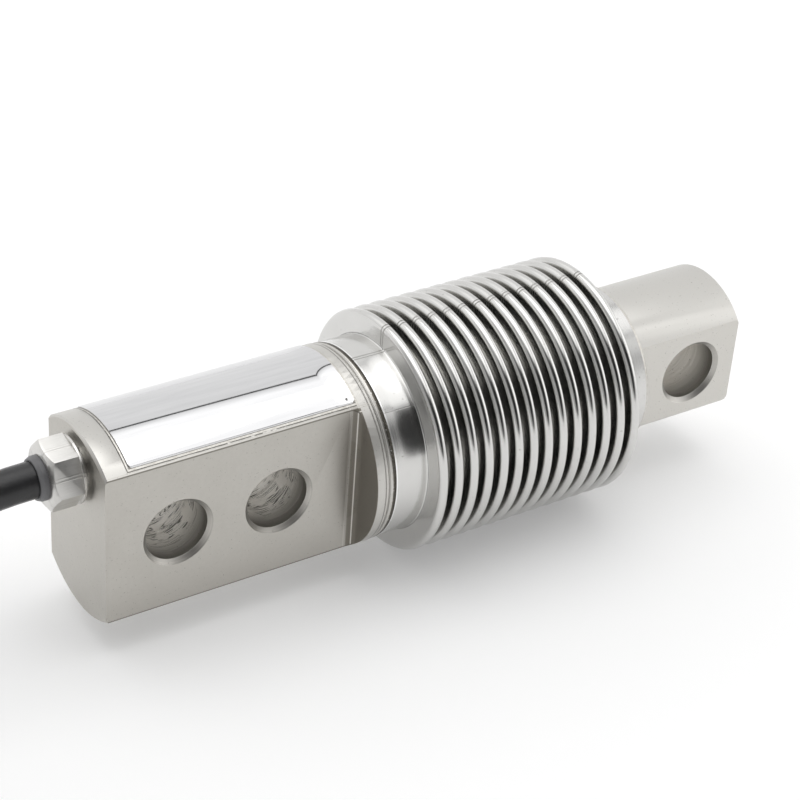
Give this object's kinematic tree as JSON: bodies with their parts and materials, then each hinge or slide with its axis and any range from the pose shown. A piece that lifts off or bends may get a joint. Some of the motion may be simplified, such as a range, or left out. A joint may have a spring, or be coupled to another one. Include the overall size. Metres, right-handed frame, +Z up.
{
  "type": "weighing load cell",
  "caption": "Stainless bending-beam weighing load cell: flat-sided clamping block, welded bellows over the measuring beam, drilled load end and a cable from a hexagon gland.",
  "frame": {"origin": "midway between the two mounting holes, on the axis of the bar and at the middle of the block's thickness", "axes": "+X along the bar to the load end, +Y along the mounting holes and the load hole, +Z up towards the circuit cover"},
  "size_m": [0.3407, 0.0522, 0.0406],
  "materials": {
    "satin_steel": "bead-blasted satin",
    "bellows_steel": "bright formed tube",
    "polished_steel": "polished",
    "weld": "dull weld bead",
    "gland_steel": "brushed",
    "board": "solder mask",
    "resistor": "matte",
    "solder": "tinned",
    "gauge_foil": "polyimide film",
    "lead_enamel": "enamelled copper",
    "seal_rubber": "matte rubber",
    "cable_jacket": "satin extruded jacket",
    "tie_plastic": "moulded nylon",
    "sleeve_plastic": "heat-shrunk sleeve",
    "core_red": "extruded insulation",
    "core_white": "extruded insulation",
    "core_green": "extruded insulation",
    "core_black": "extruded insulation",
    "shield": "tinned braid"
  },
  "bodies": {
    "root": {"spring_element": "satin_steel", "bellows": "bellows_steel", "rear_weld": "weld", "front_weld": "weld", "cover_plate": "polished_steel", "cover_weld": "weld", "circuit_board": "board", "trim_resistors": "resistor", "solder_pads": "solder", "strain_gauge_rear_left": "gauge_foil", "strain_gauge_rear_right": "gauge_foil", "strain_gauge_front_left": "gauge_foil", "strain_gauge_front_right": "gauge_foil", "gauge_leads": "lead_enamel", "gland_screw": "gland_steel", "gland_washer": "polished_steel", "cable_seal": "seal_rubber", "seal_washer": "gland_steel", "cable_inner_end": "cable_jacket", "inner_cores": "core_white", "cable_lead": "cable_jacket", "cable_hank": "cable_jacket", "cable_tie": "tie_plastic", "end_sleeve": "sleeve_plastic", "core_red": "core_red", "core_white": "core_white", "core_green": "core_green", "core_black": "core_black", "shield_tail": "shield"}
  },
  "joints": []
}
